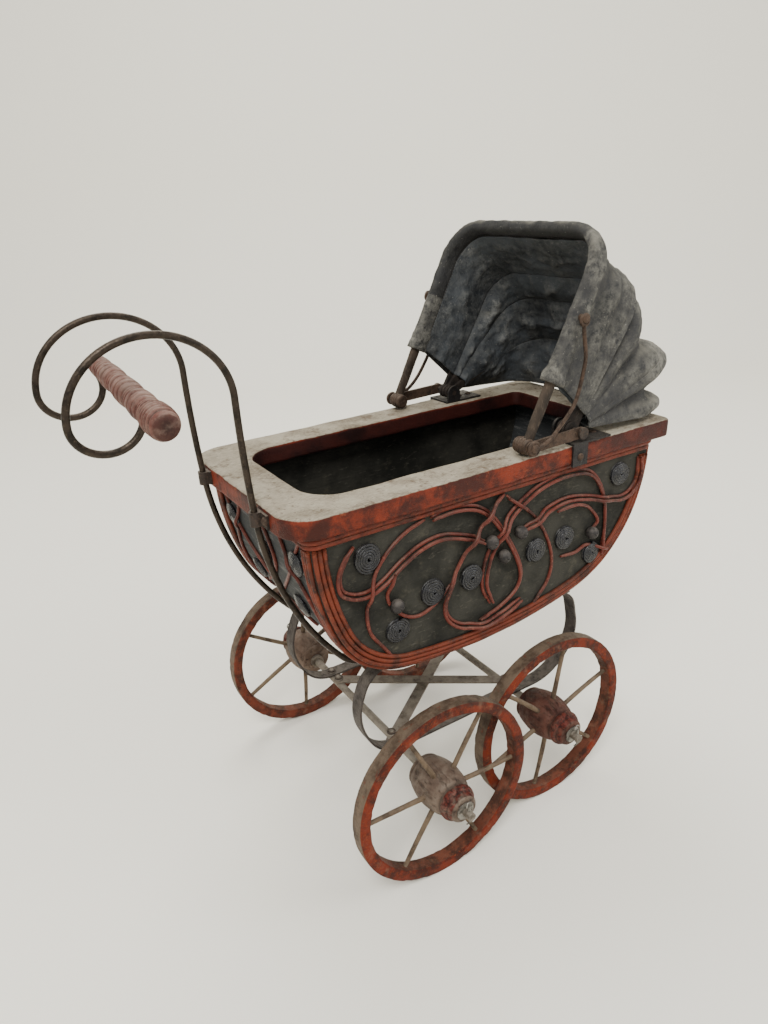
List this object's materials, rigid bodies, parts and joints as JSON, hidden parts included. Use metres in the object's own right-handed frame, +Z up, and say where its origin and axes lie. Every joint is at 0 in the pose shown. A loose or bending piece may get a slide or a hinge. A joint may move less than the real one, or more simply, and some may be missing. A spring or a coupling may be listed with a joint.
{
  "type": "doll pram",
  "caption": "Antique-style doll pram: wooden tub with reed scrollwork, folding cloth hood on bows, scrolled wire handle and spoked wheels.",
  "frame": {"origin": "centre of the bounding box in X and Y, on the ground plane", "axes": "+X from the handle end to the hood end, +Y to the left side, +Z up"},
  "size_m": [0.4151, 0.2788, 0.4255],
  "materials": {
    "painted_rim": "worn paint, dusty",
    "red_paint": "worn red-orange paint",
    "panel": "matt, dusty",
    "tub_cloth": "matt",
    "reed": "satin varnish",
    "coil": "matt",
    "bead": "satin",
    "rod": "semi-gloss",
    "grip_wood": "worn satin",
    "iron": "rusty, dusty",
    "axle_steel": "dull",
    "wire": "bright",
    "strap": "dusty",
    "wheel_rim": "worn red-orange paint",
    "spoke": "bare",
    "hub": "weathered",
    "batten": "bare",
    "bow_wood": "weathered",
    "hood_cloth": "matt, cracked"
  },
  "bodies": {
    "body": {"side_panel_left": "panel", "side_panel_right": "panel", "tub_skin": "tub_cloth", "tub_floor": "panel", "rim_board": "painted_rim", "rim_moulding": "red_paint", "edge_reeds_left": "reed", "edge_reeds_right": "reed", "scroll_reeds_left": "reed", "scroll_reeds_right": "reed", "coil_discs_left": "coil", "coil_discs_right": "coil", "beads_left": "bead", "beads_right": "bead", "handle_rod_left": "rod", "handle_rod_right": "rod", "handle_clips": "iron", "clip_screws": "iron", "grip": "grip_wood", "batten_handle": "batten", "batten_hood": "batten", "spring_strap_left": "strap", "spring_strap_right": "strap", "axle_handle": "axle_steel", "axle_hood": "axle_steel", "axle_collars": "axle_steel", "axle_washers": "wire", "cotter_pins": "wire", "cross_brace_lower": "strap", "cross_brace_upper": "strap", "spring_rivets": "iron", "brace_rivets": "iron", "batten_screws": "iron", "hood_brackets": "iron", "hood_pivot_pins": "iron", "bracket_screws": "iron"},
    "wheel_handle_right": {"wheel_rim_handle_right": "wheel_rim", "wheel_hub_handle_right": "hub", "wheel_spokes_handle_right": "spoke"},
    "wheel_handle_left": {"wheel_rim_handle_left": "wheel_rim", "wheel_hub_handle_left": "hub", "wheel_spokes_handle_left": "spoke"},
    "wheel_hood_right": {"wheel_rim_hood_right": "wheel_rim", "wheel_hub_hood_right": "hub", "wheel_spokes_hood_right": "spoke"},
    "wheel_hood_left": {"wheel_rim_hood_left": "wheel_rim", "wheel_hub_hood_left": "hub", "wheel_spokes_hood_left": "spoke"},
    "bow_rear": {"hood_bow_rear": "bow_wood", "hood_cover_rear": "hood_cloth"},
    "bow_third": {"hood_bow_third": "bow_wood", "hood_cover_third": "hood_cloth"},
    "bow_second": {"hood_bow_second": "bow_wood", "hood_cover_second": "hood_cloth"},
    "bow_front": {"hood_bow_front": "bow_wood", "hood_arms": "iron", "hood_rollers": "bow_wood", "hood_stays": "wire", "stay_bolts": "iron", "hood_cover_front": "hood_cloth"}
  },
  "joints": [
    {"name": "wheel_handle_right_spin", "type": "hinge", "parent": "body", "child": "wheel_handle_right", "pos_m": [-0.02662, -0.107, 0.07], "axis": [0, 1, 0], "continuous": true},
    {"name": "wheel_handle_left_spin", "type": "hinge", "parent": "body", "child": "wheel_handle_left", "pos_m": [-0.02662, 0.107, 0.07], "axis": [0, 1, 0], "continuous": true},
    {"name": "wheel_hood_right_spin", "type": "hinge", "parent": "body", "child": "wheel_hood_right", "pos_m": [0.08538, -0.0935, 0.07], "axis": [0, 1, 0], "continuous": true},
    {"name": "wheel_hood_left_spin", "type": "hinge", "parent": "body", "child": "wheel_hood_left", "pos_m": [0.08538, 0.0935, 0.07], "axis": [0, 1, 0], "continuous": true},
    {"name": "hood_fold", "type": "hinge", "parent": "body", "child": "bow_rear", "pos_m": [0.11338, 0, 0.292], "axis": [0, 1, 0], "range_deg": [0, 14], "deforming": ["hood_cover_rear"]},
    {"name": "third_bow_fold", "type": "hinge", "parent": "bow_rear", "child": "bow_third", "pos_m": [0.11338, 0, 0.292], "axis": [0, 1, 0], "range_deg": [0, 11.2], "deforming": ["hood_cover_third"]},
    {"name": "second_bow_fold", "type": "hinge", "parent": "bow_third", "child": "bow_second", "pos_m": [0.11338, 0, 0.292], "axis": [0, 1, 0], "range_deg": [0, 11.2], "deforming": ["hood_cover_second"]},
    {"name": "front_bow_fold", "type": "hinge", "parent": "bow_second", "child": "bow_front", "pos_m": [0.11338, 0, 0.292], "axis": [0, 1, 0], "range_deg": [0, 11.2], "deforming": ["hood_cover_front"]}
  ],
  "couplings": [
    {"joint": "third_bow_fold", "follows": "hood_fold", "ratio": 0.8},
    {"joint": "second_bow_fold", "follows": "hood_fold", "ratio": 0.8},
    {"joint": "front_bow_fold", "follows": "hood_fold", "ratio": 0.8}
  ]
}
